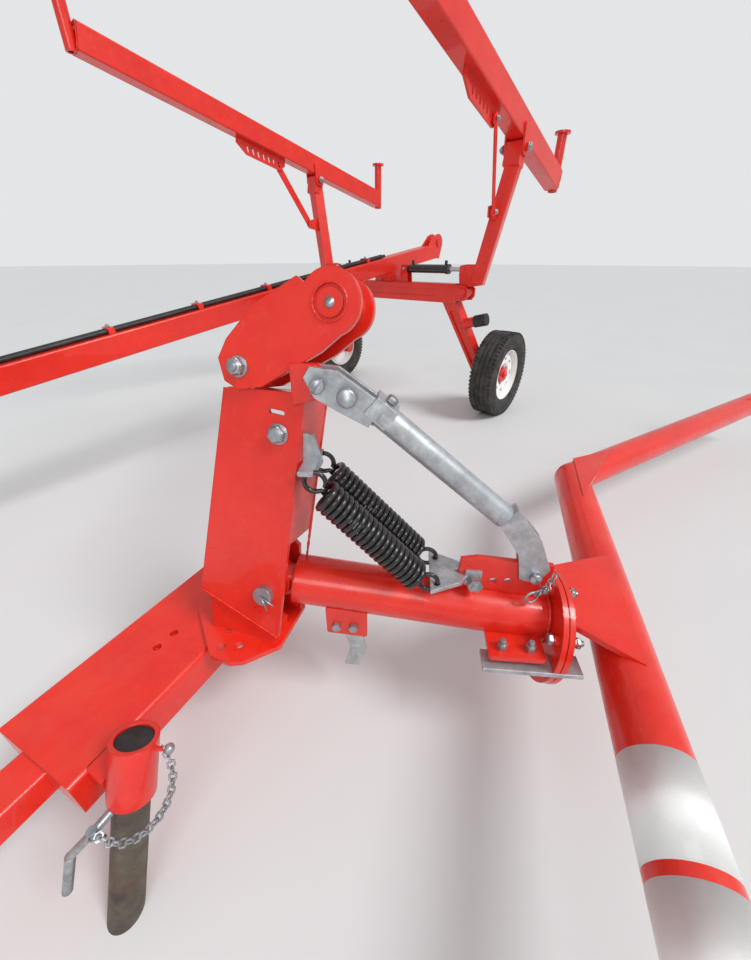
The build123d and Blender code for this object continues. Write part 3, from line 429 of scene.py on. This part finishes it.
red = paint(
    "red_paint", srgb(232, 38, 18), srgb(216, 30, 15), dust=srgb(214, 128, 98), dust_much=0.13, gloss=0.24,
    chipped=srgb(120, 74, 60), coat=0.35,
)
white = paint(
    "white_paint", srgb(246, 246, 244), srgb(238, 238, 236), dust=srgb(176, 150, 122), dust_much=0.10,
    gloss=0.35,
)
black_gloss = paint(
    "black_gloss", srgb(26, 26, 28), srgb(18, 18, 20), dust=srgb(96, 88, 80), dust_much=0.3, gloss=0.2,
    coat=0.5,
)
black_plastic = rubber("black_plastic", srgb(30, 30, 32), srgb(98, 92, 86), dust_much=0.3, gloss=0.45)
hose = rubber("hose_rubber", srgb(26, 26, 28), srgb(92, 86, 80), dust_much=0.35, gloss=0.38)
tyre_rubber = rubber("tyre_rubber", srgb(38, 38, 39), srgb(112, 104, 94), dust_much=0.45, gloss=0.75)
zinc = metal("zinc", srgb(196, 200, 204), srgb(138, 143, 148), rough=0.32, stain=srgb(150, 112, 74))
galvanised = metal(
    "galvanised", srgb(208, 212, 215), srgb(152, 157, 162), rough=0.34, stain=srgb(140, 128, 112),
    scale=26.0, metallic=0.65,
)
bare = metal(
    "bare_steel", srgb(112, 104, 92), srgb(74, 68, 60), rough=0.5, stain=srgb(122, 84, 56),
    scale=18.0, metallic=0.5,
)
chrome = metal("chromed_rod", srgb(214, 216, 220), srgb(196, 198, 202), rough=0.12, scale=20.0, metallic=1.0)

LOOKS = {
    "red_paint": red,
    "tyre": tyre_rubber,
    "white_rim": white,
    "galvanised": galvanised,
    "chromed_rod": chrome,
    "spring_steel": black_gloss,
    "black_paint": black_gloss,
    "black_plastic": black_plastic,
    "hose_rubber": hose,
    "bare_steel": bare,
}
ZINC_NODES = ("arm_bolts", "mast_bolts", "arm_pin", "leg_chain", "leg_pin_handle")
for part in frame["record"]["subparts"]:
    look = zinc if part["node"] in ZINC_NODES else LOOKS[part["material_slot"]]
    materials = nodes[part["node"]].data.materials
    materials.clear()
    materials.append(look)


# Springs: one wire each, from the hanger through its coils to the plate
SPRING_TOP = (0.118, 0.655)
SPRING_FOOT = (0.310, 0.452)
SPRING_HANGER = (0.092, 0.697)
SPRING_PLATE = (0.352, 0.434)
SPRING_OFF = 0.042  # to each side of the arm's plane
COIL_RADIUS = 0.0278
COIL_TURNS = 20
COIL_STEPS = 20
COIL_INSET = 0.004
WIRE_RADIUS = 0.0062
EYE_WIRE = WIRE_RADIUS * 0.8
EYE_RADIUS = 0.021
EYE_SHARE = 0.46  # an eye's largest radius in shares of the way from its hold to the coils
EYE_FROM, EYE_ROUND = 30, 300
EYE_STEPS = 28
NECK_SHARES = (0.35, 0.7, 1.0)


def spring_eye(near, hold, last):
    """Path of the eye round its hold at one end, which runs back to the coil's last point."""
    way = (near - hold).normalized()
    across = ARM_SIDE.cross(way)
    radius = min(EYE_RADIUS, (near - hold).length * EYE_SHARE)
    middle = hold + way * radius
    loop = []
    for k in range(EYE_STEPS + 1):
        angle = math.radians(EYE_FROM + EYE_ROUND * k / EYE_STEPS)
        loop.append(middle + way * (radius * math.cos(angle)) + across * (radius * math.sin(angle)))
    neck = [near.lerp(last, share) for share in NECK_SHARES]
    return loop + [middle + way * radius * 1.05, near] + neck


def spring(name, sign):
    off = sign * SPRING_OFF
    top, foot = arm_point(*SPRING_TOP, off), arm_point(*SPRING_FOOT, off)
    basis = turned(foot - top)
    length = (foot - top).length - 2 * COIL_INSET
    coils = []
    for k in range(COIL_TURNS * COIL_STEPS + 1):
        share = k / (COIL_TURNS * COIL_STEPS)
        spot = on_circle(COIL_RADIUS, 2 * math.pi * k / COIL_STEPS, COIL_INSET + length * share)
        coils.append(top + basis @ spot)
    wire = Pile()
    wire.tube(coils, WIRE_RADIUS, 10)
    wire.tube(spring_eye(top, arm_point(*SPRING_HANGER, off), coils[0]), EYE_WIRE, 9)
    wire.tube(spring_eye(foot, arm_point(*SPRING_PLATE, off), coils[-1]), EYE_WIRE, 9)
    piece = wire.make(f"{name}_coils", black_gloss, "chassis")
    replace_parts(piece, name)


spring("near_spring", 1)
spring("far_spring", -1)


# Flange pair: a head and a nut on each bolt
FLANGE_BOLTS = 6
FLANGE_BOLT_INSET = 0.024  # from the flange's rim
FLANGE_BOLT_FROM = 30
FLANGE_BOLT_OUT = 0.0125  # from the flange's face to the head's foot


def flange_bolts(pile):
    middle = FLANGE_MIDDLE - UP * FLANGE_DROP
    basis = turned(ARM_WAY)
    for k in range(FLANGE_BOLTS):
        angle = math.radians(FLANGE_BOLT_FROM + 360 / FLANGE_BOLTS * k)
        spot = middle + basis @ on_circle(FLANGE_RADIUS - FLANGE_BOLT_INSET, angle)
        head_at, nut_at = spot - ARM_WAY * FLANGE_BOLT_OUT, spot + ARM_WAY * (FLANGE_PACK + FLANGE_BOLT_OUT)
        pile.bolt(head_at, -ARM_WAY, FLANGE_BOLT, washer=False)
        pile.bolt(nut_at, ARM_WAY, FLANGE_BOLT, washer=False, stud=0.008)


# White stripes round the side tube, from the arm's end along it
STRIPES = ((0.303, 0.451), (0.468, 0.620))
STRIPE_OVER, STRIPE_UNDER = 0.0004, 0.001
TUBE_WAY, REAR_WAY = heading(TUBE_YAW), heading(REAR_YAW)


def side_tube_stripes():
    stripes = Pile()
    inner, outer = TUBE_RADIUS - STRIPE_UNDER, TUBE_RADIUS + STRIPE_OVER
    for start, end in STRIPES:
        band = [(inner, start), (outer, start), (outer, end), (inner, end)]
        stripes.lathe(band, ARM_TIP, TUBE_WAY, 64, closed=True)
    stripes.make("side_tube_stripes", white, "chassis")


# Welds of the side frame: arm to flanges, arm to side tube, and tubes to their sockets
SIDE_WELD = 0.004
WELD_LIFT = 0.001
FLANGE_WELD_OFF = 0.002
SOCKET_WELD_RADIUS = 0.036


def saddle_path(steps=72):
    """Where the arm's tube meets the side tube."""
    level = ARM_WAY.cross(UP).normalized()
    path = []
    for k in range(steps):
        angle = 2 * math.pi * k / steps
        rim = (level * math.cos(angle) + UP * math.sin(angle)) * ARM_RADIUS
        depth = math.sqrt(TUBE_RADIUS ** 2 - rim.z ** 2)
        path.append(ARM_TIP + rim - ARM_WAY * (depth + WELD_LIFT))
    return path


def side_frame_welds():
    welds = Pile()
    for along in (-FLANGE_WELD_OFF, FLANGE_PACK + FLANGE_WELD_OFF):
        spot = FLANGE_MIDDLE + ARM_WAY * along
        welds.ring(spot, ARM_WAY, ARM_RADIUS + WELD_LIFT, SIDE_WELD, 90, SEAM_SIDES, SEAM_RIPPLE)
    welds.seam(saddle_path(), SIDE_WELD, closed=True)
    elbow = ARM_TIP - TUBE_WAY * TUBE_BACK
    for end, way in ((ARM_TIP + TUBE_WAY * TUBE_AHEAD, TUBE_WAY), (elbow + REAR_WAY * REAR_LENGTH, REAR_WAY)):
        welds.ring(end - way * SIDE_WELD, way, SOCKET_WELD_RADIUS, SIDE_WELD, 60, SEAM_SIDES, SEAM_RIPPLE)
    welds.make("side_frame_welds", red, "chassis")


# Mast: welds of the boss, of the channel's two edges and of its foot
BOSS_WELD_RADIUS = 0.0305
FINE_WELD = 0.0022
CHANNEL_WELD = 0.003
CHANNEL_BACK = 0.108
CHANNEL_EDGES = (((-0.010, 0.104), (0.062, 0.546)), ((0.180, 0.026), (0.230, 0.540)))
FOOT_SEAM = ((-0.014, 0.101), (0.176, 0.020))
FOOT_SEAM_BACK = -0.001


def mast_welds():
    welds = Pile()
    welds.ring(mast_point(*BOSS_AT, -HEAD_PLATE), MAST_OUT, BOSS_WELD_RADIUS, FINE_WELD, 64, SEAM_SIDES, 0.25)
    for low, high in CHANNEL_EDGES:
        welds.seam(straight(mast_point(*low, CHANNEL_BACK), mast_point(*high, CHANNEL_BACK)), CHANNEL_WELD)
    low, high = FOOT_SEAM
    welds.seam(straight(mast_point(*low, FOOT_SEAM_BACK), mast_point(*high, FOOT_SEAM_BACK)), FINE_WELD)
    welds.make("mast_welds", red, "chassis")


# Mast: the nut on the head plates and the bolt on the channel
HEAD_NUT_AT = (0.106, 0.593)
CHANNEL_BOLT_AT = (0.180, 0.475)


def head_bolts():
    bolts = Pile()
    bolts.bolt(mast_point(*HEAD_NUT_AT, -HEAD_PLATE), MAST_OUT, HEAD_NUT, stud=0.006)
    bolts.bolt(mast_point(*CHANNEL_BOLT_AT), MAST_OUT, CHANNEL_BOLT)
    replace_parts(bolts.make("head_bolts", zinc, "chassis"), "mast_bolts")


# Mast: the plug in the boss's bore
PLUG_PROFILE = [(0.0, 0.0), (0.009, 0.0), (0.009, 0.004), (0.0, 0.006)]
PLUG_SUNK = 0.003


def boss_plug(pile):
    pile.lathe(PLUG_PROFILE, mast_point(*BOSS_AT, PLUG_SUNK - HEAD_PLATE), MAST_OUT)


unit_bolts = Pile()
flange_bolts(unit_bolts)
side_tube_stripes()
side_frame_welds()
mast_welds()
head_bolts()
boss_plug(unit_bolts)
unit_bolts.make("side_unit_bolts", zinc, "chassis")


# Split pin through the arm's pin: each leg's way across and up the mast, and its reach
SPLIT_LEGS = ((0.5, -0.86, 0.030), (0.93, -0.37, 0.032))
SPLIT_WIRE = 0.0018


def arm_split_pin(pile):
    for across, up, reach in SPLIT_LEGS:
        leg = MAST_ACROSS * across + MAST_UP * up
        start = mast_point(*ARM_PIN_AT, -0.016) - leg * 0.004
        end = mast_point(*ARM_PIN_AT, -0.018) + leg * reach
        pile.tube([start, end], SPLIT_WIRE, 6)


# Split ring at the leg chain's first link, and the knob at its last
PIN_DOWN, PIN_OUT = 0.092, 0.069  # the pin's bend, from the leg's top
STAPLE_DOWN, STAPLE_OUT = 0.014, 0.061
RING_RADIUS, RING_WIRE = 0.0115, 0.0017
KNOB_PROFILE = [(0.0, -0.009), (0.006, -0.007), (0.009, -0.002), (0.009, 0.003), (0.006, 0.007), (0.0, 0.009)]


def leg_chain_ends(pile):
    top, foot = from_axle(*LEG_TOP), from_axle(*LEG_FOOT)
    leg_way = (top - foot).normalized()
    forward = heading(PUSH_YAW)
    outer = (heading(PUSH_YAW + 90) * 0.9 - forward * 0.43).normalized()
    bend = top - leg_way * PIN_DOWN + forward * PIN_OUT
    pile.ring(bend + Vector((-0.002, 0.010, -0.006)), Vector((0.5, 0.5, -0.5)), RING_RADIUS, RING_WIRE, 28, 6)
    pile.lathe(KNOB_PROFILE, top - leg_way * STAPLE_DOWN + outer * STAPLE_OUT, outer, 20)


# Strut: its pins' heads, the cotters on them and the cross bolt at the tube's upper end
STRUT_PINS = ((0.117, 0.860, 0.0135), (0.168, 0.841, 0.0175), (0.560, 0.456, 0.0130))  # out, height, radius
STRUT_PIN_HALF = 0.027
COTTERS = ((0.117, 0.860, 50), (0.560, 0.462, 120))  # out, height, lean
COTTER_OFF = 0.035
COTTER_BACK, COTTER_AHEAD = 0.020, 0.018
COTTER_WIRE = 0.0016
STRUT_TUBE = ((0.224, 0.806), (0.478, 0.594))  # its upper and lower end
STRUT_BOLT_AT = (0.230, 0.811)
STRUT_BOLT_HALF = 0.021


def strut_pins(pile):
    for out, high, size in STRUT_PINS:
        for way in (1, -1):
            head = [(size, 0), (size, 0.005), (size * 0.85, 0.0075), (0.0, 0.008)]
            pile.lathe(head, arm_point(out, high, way * STRUT_PIN_HALF), ARM_SIDE * way, 28)
    for out, high, lean in COTTERS:
        way = ARM_RUN * math.cos(math.radians(lean)) + UP * math.sin(math.radians(lean))
        for side in (-COTTER_WIRE, COTTER_WIRE):
            spot = arm_point(out, high, COTTER_OFF + side)
            pile.tube([spot - way * COTTER_BACK, spot + way * COTTER_AHEAD], COTTER_WIRE, 6)
    upper, lower = arm_point(*STRUT_TUBE[0]), arm_point(*STRUT_TUBE[1])
    strut_up = ARM_SIDE.cross((lower - upper).normalized())
    for way, stud in ((1, 0), (-1, 0.005)):
        spot = arm_point(*STRUT_BOLT_AT) + strut_up * way * STRUT_BOLT_HALF
        pile.bolt(spot, strut_up * way, STRUT_BOLT, washer=False, stud=stud)


# Strut: ring at its foot and the short chain from it to the lug
FOOT_RING = (0.559, 0.409, 0.036)
FOOT_RING_RADIUS, FOOT_RING_WIRE = 0.0145, 0.0030
FOOT_RING_LEAN = 0.3
CHAIN_START_UP, CHAIN_START_OUT = 0.012, 0.006  # from the ring's middle
CHAIN_END = (0.598, 0.474, 0.030)
CHAIN_LINKS = 8
CHAIN_SAG = 0.016
LINK_RADIUS, LINK_WIRE = 0.0062, 0.0016


def strut_chain(pile):
    ring = arm_point(*FOOT_RING)
    pile.ring(ring, ARM_SIDE + ARM_RUN * FOOT_RING_LEAN, FOOT_RING_RADIUS, FOOT_RING_WIRE)
    start, end = ring + UP * CHAIN_START_UP + ARM_RUN * CHAIN_START_OUT, arm_point(*CHAIN_END)
    way = (end - start).normalized()
    for k in range(CHAIN_LINKS):
        share = (k + 0.5) / CHAIN_LINKS
        spot = start.lerp(end, share) - UP * (CHAIN_SAG * math.sin(math.pi * share))
        pile.ring(spot, way.cross(ARM_SIDE) if k % 2 else ARM_SIDE, LINK_RADIUS, LINK_WIRE, 16, 6)


small = Pile()
arm_split_pin(small)
leg_chain_ends(small)
strut_pins(small)
strut_chain(small)
small.make("split_pins_and_rings", zinc, "chassis")


# Road wheels: treaded tyre in place of the plain one, wheel nuts and hub cap
SIDES = (("left", 1), ("right", -1))
TYRE_WALL = [
    (RIM_RADIUS, -TYRE_HALF + 0.018),
    (RIM_RADIUS + 0.006, -TYRE_HALF + 0.012),
    (RIM_RADIUS + 0.020, -TYRE_HALF + 0.003),
    (RIM_RADIUS + 0.036, -TYRE_HALF),
    (RIM_RADIUS + 0.060, -TYRE_HALF - 0.0005),
    (RIM_RADIUS + 0.064, -TYRE_HALF + 0.001),
    (TYRE_RADIUS - 0.026, -TYRE_HALF + 0.003),
    (TYRE_RADIUS - 0.011, -TYRE_HALF + 0.012),
    (TYRE_RADIUS - 0.004, -TYRE_HALF + 0.024),
]
GROOVES = (-0.034, 0.0, 0.034)
GROOVE_TOP, GROOVE_FLOOR = TYRE_RADIUS - 0.001, TYRE_RADIUS - 0.008
GROOVE_TOP_HALF, GROOVE_FLOOR_HALF = 0.0055, 0.004
# Tread lugs: middle across the tyre, skew, half of the width, and depth of foot and of top under the crown
LUG_LANES = (
    (-0.062, 0.004, 0.019, 0.018, 0.0015),
    (-0.017, -0.003, 0.010, 0.012, 0.0),
    (0.017, 0.003, 0.010, 0.012, 0.0),
    (0.062, -0.004, 0.019, 0.018, 0.0015),
)
LUG_COUNT = 64
LUG_HALF = 0.0095  # half of its length round the tyre
BOX_CORNERS = ((-1, -1), (1, -1), (1, 1), (-1, 1))
BOX_FACES = ((3, 2, 1, 0), (4, 5, 6, 7), (0, 1, 5, 4), (1, 2, 6, 5), (2, 3, 7, 6), (3, 0, 4, 7))
NUT_COUNT = 5
NUT_CIRCLE = 0.068
NUT_OUT = 0.026
CAP_PROFILE = [(0.022, 0.046), (0.024, 0.050), (0.024, 0.056), (0.020, 0.062), (0.012, 0.066), (0.003, 0.067)]


def tyre_profile():
    profile = list(TYRE_WALL)
    for middle in GROOVES:
        profile += [(GROOVE_TOP, middle - GROOVE_TOP_HALF), (GROOVE_FLOOR, middle - GROOVE_FLOOR_HALF)]
        profile += [(GROOVE_FLOOR, middle + GROOVE_FLOOR_HALF), (GROOVE_TOP, middle + GROOVE_TOP_HALF)]
    return profile + [(radius, -height) for radius, height in reversed(TYRE_WALL)]


def tyre_lug(pile, centre, axis, angle, lane):
    middle, skew, half, foot, top = lane
    spoke = Vector((math.cos(angle), 0, math.sin(angle)))
    way = Vector((-math.sin(angle), 0, math.cos(angle)))
    verts = []
    for radius in (TYRE_RADIUS - foot, TYRE_RADIUS - top):
        for a, b in BOX_CORNERS:
            level = centre + spoke * radius + axis * (middle + a * half)
            verts.append(level + way * (b * LUG_HALF + a * skew))
    pile.add(verts, BOX_FACES, False)


def road_wheel(side, sign):
    body = f"{side}_wheel"
    centre = from_axle(0, sign * WHEEL_Y, TYRE_RADIUS)
    axis = Vector((0, sign, 0))
    tread = Pile()
    tread.lathe(tyre_profile(), centre, axis, 96, closed=True)
    for k in range(LUG_COUNT):
        for lane in LUG_LANES:
            tyre_lug(tread, centre, axis, 2 * math.pi * k / LUG_COUNT, lane)
    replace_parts(tread.make(f"{side}_tyre_tread", tyre_rubber, body), f"{side}_tyre")
    nuts = Pile()
    for k in range(NUT_COUNT):
        angle = 2 * math.pi * k / NUT_COUNT
        spoke = Vector((math.cos(angle), 0, math.sin(angle)))
        nuts.bolt(centre + spoke * NUT_CIRCLE + axis * NUT_OUT, axis, WHEEL_NUT, washer=False, stud=0.005)
    nuts.make(f"{side}_wheel_nuts", zinc, body)
    cap = Pile()
    cap.lathe(CAP_PROFILE, centre, axis, 40)
    cap.make(f"{side}_hub_cap", red, body)


for side, sign in SIDES:
    road_wheel(side, sign)


# Booms: pivot bolt, link bolts, hinge pins, cylinder pins, and welds of the sockets
PIVOT_OUTER, PIVOT_INNER = 0.0745, 0.0735  # where the pivot bolt's head and nut seat
LINK_TOP_AHEAD = 0.350
LINK_TOP_DROP = 0.044  # under the bar
LINK_TOP_OFF = 0.0285
LINK_FOOT = (0.120, -0.052, -0.300)  # from the pivot
LINK_FOOT_OFF = 0.036
SOCKET_WELD = 0.0035
SOCKET_WELD_OFF = 0.004
SOCKET_SEAM = (0.046, 0.056)  # the seam's reach to the bar's sides and to its top and bottom
SEAM_SQUARE = 1.3  # how square the seam runs, from 1 for round
HINGE_FRONT, HINGE_BACK = 0.065, 0.064  # the hinge pin's ends, from the cross-beam's middle
CYL_PIN_HALF = 0.039
CYL_PIN_PROFILE = [(0.011, 0), (0.011, 0.003), (0.008, 0.005), (0.0, 0.005)]


def boom_fittings(side, sign):
    body = f"{side}_boom"
    run = heading(BAR_SPREAD, BAR_RISE)
    up = run.cross(Vector((0, 1, 0))).normalized()
    level = up.cross(run)
    pivot = Vector(BAR_PIVOT)
    outward, sideways = Vector((level.x, sign * level.y, level.z)), Vector((0, sign, 0))

    def put(spot):
        """A spot of the left boom, on this side."""
        return from_axle(spot.x, sign * spot.y, spot.z)

    bolts = Pile()
    bolts.bolt(put(pivot + level * PIVOT_OUTER), outward, PIVOT_BOLT)
    bolts.bolt(put(pivot - level * PIVOT_INNER), -outward, PIVOT_BOLT, stud=0.008)
    link_top = pivot + run * LINK_TOP_AHEAD + up * (BAR_OVER_PIVOT - BAR_HALF - LINK_TOP_DROP)
    bolts.bolt(put(link_top + Vector((0, LINK_TOP_OFF, 0))), sideways, LINK_TOP_BOLT)
    bolts.bolt(put(pivot + Vector(LINK_FOOT) + Vector((0, LINK_FOOT_OFF, 0))), sideways, LINK_FOOT_BOLT)
    bolts.make(f"{side}_boom_bolts", zinc, body)

    seams = Pile()
    for along in (-BAR_BACK - SOCKET_WELD_OFF, BAR_AHEAD + SOCKET_WELD_OFF):
        end = pivot + up * BAR_OVER_PIVOT + run * along
        path = []
        for k in range(48):
            angle = 2 * math.pi * k / 48
            a = max(-1, min(1, SEAM_SQUARE * math.cos(angle)))
            b = max(-1, min(1, SEAM_SQUARE * math.sin(angle)))
            path.append(put(end + level * (SOCKET_SEAM[0] * a) + up * (SOCKET_SEAM[1] * b)))
        seams.seam(path, SOCKET_WELD, closed=True)
    seams.make(f"{side}_boom_welds", red, body)

    pins = Pile()
    for x, way in ((CROSS_X + HINGE_FRONT, 1), (CROSS_X - HINGE_BACK, -1)):
        pins.bolt(from_axle(x, sign * HINGE_Y, HINGE_Z), Vector((way, 0, 0)), HINGE_BOLT, washer=False)
    for way in (1, -1):
        spot = from_axle(CROSS_X + way * CYL_PIN_HALF, sign * CYL_ROOT_Y, CYL_Z)
        pins.lathe(CYL_PIN_PROFILE, spot, Vector((way, 0, 0)))
    pins.make(f"{side}_hinge_ends", zinc, "chassis")


for side, sign in SIDES:
    boom_fittings(side, sign)


# Clips of the beam: a screw in the middle of each
CLIP_HALF = 0.013
CLIP_TOP = 0.0752  # over the beam's centre line


def clip_screws():
    screws = Pile()
    beam_up = Vector((BEAM_FALL, 0, 1)).normalized()
    for k in range(CLIP_COUNT):
        x = CLIP_FIRST_X + k * CLIP_STEP
        on_line = from_axle(x + CLIP_HALF, 0, BEAM_AXLE_Z - BEAM_FALL * x)
        screws.bolt(on_line + beam_up * CLIP_TOP, beam_up, CLIP_SCREW)
    screws.make("clip_screws", zinc, "chassis")


clip_screws()

# Light edges on the CAD solids: a small rounding that catches the light
ROUNDED = (
    "mast_channel", "mast_head", "push_bar", "leg_sleeve", "arm_bolts", "mast_seat", "arm_plates",
    "strut_ear", "flat_bar", "bent_hook", "spring_plate", "strut_jaw", "strut_tube", "side_gussets",
    "arm_flanges", "outrigger",
)
for name in ROUNDED:
    rounding = nodes[name].modifiers.new("rounding", "BEVEL")
    rounding.width = 0.0012
    rounding.segments = 2
    rounding.limit_method = "ANGLE"
    rounding.angle_limit = math.radians(40)
    rounding.use_clamp_overlap = True


# Floor
FLOOR_HALF = 80
FLOOR_COLOUR = (216, 217, 217)
FLOOR_DARKER = 8  # how much its clouds are darker


def floor_look():
    look = Shader("floor")
    grain = look.step(look.noise(1.5, 4), 0.3, 0.7, 0.0, 0.4)
    darker = [c - FLOOR_DARKER for c in FLOOR_COLOUR]
    return look.finish(look.mix(grain, srgb(*FLOOR_COLOUR), srgb(*darker)), 0.8)


def lay_floor():
    mesh = bpy.data.meshes.new("floor")
    corners = [(x * FLOOR_HALF, y * FLOOR_HALF, -EYE_HIGH) for x, y in BOX_CORNERS]
    mesh.from_pydata(corners, [], [(0, 1, 2, 3)])
    mesh.materials.append(floor_look())
    floor = bpy.data.objects.new("floor", mesh)
    bpy.context.scene.collection.objects.link(floor)


lay_floor()

# Sky: one strength on the object, a higher one where the camera sees it
SKY_COLOUR = (236, 238, 240)
SKY_LIGHT, SKY_SEEN = 0.62, 0.92
scene = bpy.context.scene
scene.view_settings.view_transform = "Standard"
scene.world = bpy.data.worlds.new("studio")
scene.world.use_nodes = True
sky_tree = scene.world.node_tree
sky = sky_tree.nodes["Background"]
sky.inputs["Color"].default_value = srgb(*SKY_COLOUR)
ray = sky_tree.nodes.new("ShaderNodeLightPath")
strength = sky_tree.nodes.new("ShaderNodeMapRange")
strength.inputs["To Min"].default_value = SKY_LIGHT
strength.inputs["To Max"].default_value = SKY_SEEN
sky_tree.links.new(ray.outputs["Is Camera Ray"], strength.inputs["Value"])
sky_tree.links.new(strength.outputs["Result"], sky.inputs["Strength"])


# Lamps
def lamp(name, kind, at, towards, energy, **settings):
    data = bpy.data.lights.new(name, kind)
    data.energy = energy
    for key, value in settings.items():
        setattr(data, key, value)
    item = bpy.data.objects.new(name, data)
    item.location = at
    item.rotation_euler = (Vector(towards) - Vector(at)).to_track_quat("-Z", "Y").to_euler()
    scene.collection.objects.link(item)


lamp("day", "SUN", at=(-4, 9, 9), towards=(-2, 1, 0), energy=2.0, angle=math.radians(22))
lamp(
    "fill", "AREA", at=(2.5, 4.5, 3.5), towards=(-1.8, 1.2, 0.0), energy=90,
    shape="RECTANGLE", size=3.0, size_y=2.0,
)

# Camera, solved from the photo's lines
CAMERA_AT = (-1.239, 2.027, 0.595)
CAMERA_WAY = Vector((-0.6654, -0.5585, -0.4955))
CAMERA_LENS, CAMERA_SENSOR = 14.59, 36  # millimetres
camera_data = bpy.data.cameras.new("camera")
camera_data.lens = CAMERA_LENS
camera_data.sensor_width = CAMERA_SENSOR
camera_data.sensor_fit = "AUTO"
camera_data.clip_start = 0.01
camera = bpy.data.objects.new("camera", camera_data)
camera.location = CAMERA_AT
camera.rotation_euler = CAMERA_WAY.to_track_quat("-Z", "Y").to_euler()
scene.collection.objects.link(camera)
scene.camera = camera
